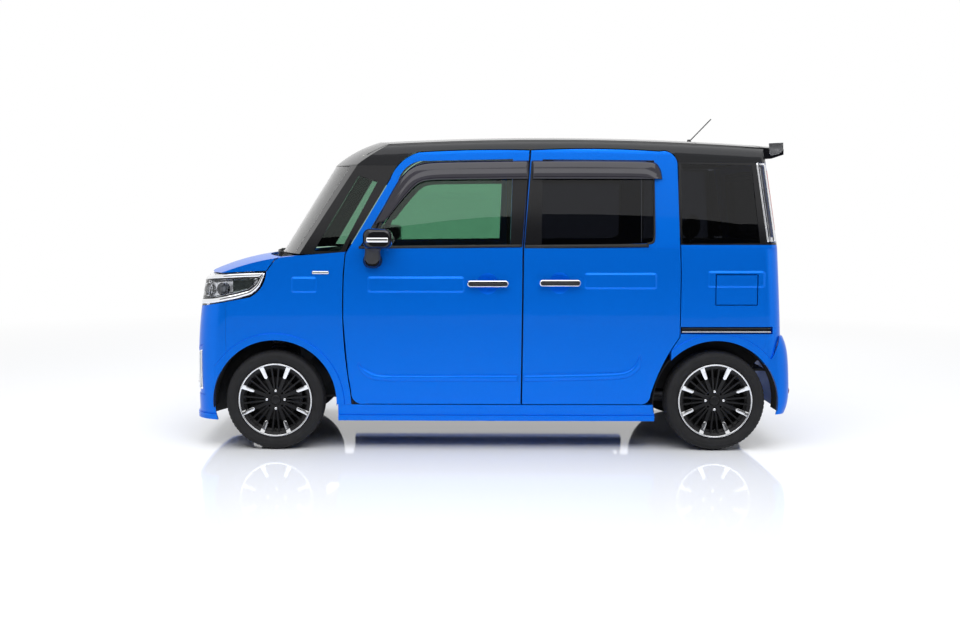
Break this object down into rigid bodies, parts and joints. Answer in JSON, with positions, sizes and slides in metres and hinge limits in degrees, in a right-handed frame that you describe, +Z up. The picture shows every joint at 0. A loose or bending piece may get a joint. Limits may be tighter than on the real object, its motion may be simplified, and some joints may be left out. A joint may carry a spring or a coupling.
{
  "type": "kei car",
  "caption": "Tall-bodied kei car with hinged front doors, sliding rear doors, bonnet and tailgate; it rolls and steers.",
  "frame": {"origin": "on the ground under the middle of the car", "axes": "+X rearward, +Y to the car's right, +Z up"},
  "size_m": [3.3947, 1.76, 1.8892],
  "materials": {
    "body_blue": "gloss metallic",
    "roof_black": "gloss pearl",
    "trim_black": "gloss",
    "dark_plastic": "fine grain",
    "clear_glass": "green tint",
    "privacy_glass": "dark tint",
    "lamp_lens": "clear",
    "chrome": "polished",
    "tyre": "matt rubber",
    "wheel_black": "gloss black with machined lip",
    "steel": "satin black",
    "bare_steel": "satin",
    "seat_cloth": "knitted",
    "interior": "grained"
  },
  "bodies": {
    "body": {"antenna": "dark_plastic", "arch_liners": "dark_plastic", "centre_pillars": "interior", "cowl": "dark_plastic", "dashboard": "interior", "engine": "bare_steel", "exhaust": "bare_steel", "floor_pan": "interior", "front_bumper": "body_blue", "front_fenders": "body_blue", "front_rails": "steel", "front_seats": "seat_cloth", "fuel_tank": "dark_plastic", "grille": "trim_black", "head_lamps": "lamp_lens", "hinge_pillars": "steel", "rear_axle": "steel", "rear_bumper": "body_blue", "rear_frames": "trim_black", "rear_quarters": "body_blue", "rear_seat": "seat_cloth", "roof_panel": "roof_black", "screen_posts": "trim_black", "side_glass": "privacy_glass", "side_sills": "body_blue", "slide_doors": "body_blue", "slide_frames": "body_blue", "slide_handles": "chrome", "steering_wheel": "interior", "subframe": "steel", "tail_lamps": "lamp_lens", "windscreen": "clear_glass", "wipers": "dark_plastic"},
    "door_left": {"door_frame_left": "body_blue", "door_glass_left": "clear_glass", "front_door_left": "body_blue", "handle_left": "chrome", "mirror_left": "trim_black"},
    "door_right": {"door_frame_right": "body_blue", "door_glass_right": "clear_glass", "front_door_right": "body_blue", "handle_right": "chrome", "mirror_right": "trim_black"},
    "bonnet_lid": {"bonnet": "body_blue"},
    "rear_gate": {"spoiler": "roof_black", "tailgate": "body_blue", "tailgate_glass": "privacy_glass"},
    "filler_lid": {"fuel_lid": "body_blue"},
    "steer_left": {"knuckle_left": "steel"},
    "steer_right": {"knuckle_right": "steel"},
    "wheel_front_left": {"rim_front_left": "wheel_black", "tyre_front_left": "tyre"},
    "wheel_front_right": {"rim_front_right": "wheel_black", "tyre_front_right": "tyre"},
    "wheel_rear_left": {"rim_rear_left": "wheel_black", "tyre_rear_left": "tyre"},
    "wheel_rear_right": {"rim_rear_right": "wheel_black", "tyre_rear_right": "tyre"}
  },
  "joints": [
    {"name": "door_left_hinge", "type": "hinge", "parent": "body", "child": "door_left", "pos_m": [-0.772, -0.71, 0.685], "axis": [0, 0, -1], "range_deg": [0, 68]},
    {"name": "door_right_hinge", "type": "hinge", "parent": "body", "child": "door_right", "pos_m": [-0.772, 0.71, 0.685], "axis": [0, 0, 1], "range_deg": [0, 68]},
    {"name": "bonnet_hinge", "type": "hinge", "parent": "body", "child": "bonnet_lid", "pos_m": [-1.15, 0, 1.045], "axis": [0, 1, 0], "range_deg": [0, 50]},
    {"name": "tailgate_hinge", "type": "hinge", "parent": "body", "child": "rear_gate", "pos_m": [1.432, 0, 1.685], "axis": [0, -1, 0], "range_deg": [0, 80]},
    {"name": "filler_hinge", "type": "hinge", "parent": "body", "child": "filler_lid", "pos_m": [1.258, -0.711, 0.9], "axis": [0, 0, -1], "range_deg": [0, 85]},
    {"name": "steer_left_pivot", "type": "hinge", "parent": "body", "child": "steer_left", "pos_m": [-1.208, -0.59, 0.195], "axis": [0.0362, 0.2082, 0.9774], "range_deg": [-35, 35]},
    {"name": "steer_right_pivot", "type": "hinge", "parent": "body", "child": "steer_right", "pos_m": [-1.208, 0.59, 0.195], "axis": [0.0362, -0.2082, 0.9774], "range_deg": [-35, 35]},
    {"name": "wheel_front_left_spin", "type": "hinge", "parent": "steer_left", "child": "wheel_front_left", "pos_m": [-1.208, -0.646, 0.28], "axis": [0, 1, 0], "continuous": true},
    {"name": "wheel_front_right_spin", "type": "hinge", "parent": "steer_right", "child": "wheel_front_right", "pos_m": [-1.208, 0.646, 0.28], "axis": [0, 1, 0], "continuous": true},
    {"name": "wheel_rear_left_spin", "type": "hinge", "parent": "body", "child": "wheel_rear_left", "pos_m": [1.252, -0.646, 0.28], "axis": [0, 1, 0], "continuous": true},
    {"name": "wheel_rear_right_spin", "type": "hinge", "parent": "body", "child": "wheel_rear_right", "pos_m": [1.252, 0.646, 0.28], "axis": [0, 1, 0], "continuous": true}
  ],
  "couplings": [
    {"joint": "steer_right_pivot", "follows": "steer_left_pivot", "ratio": 1}
  ]
}
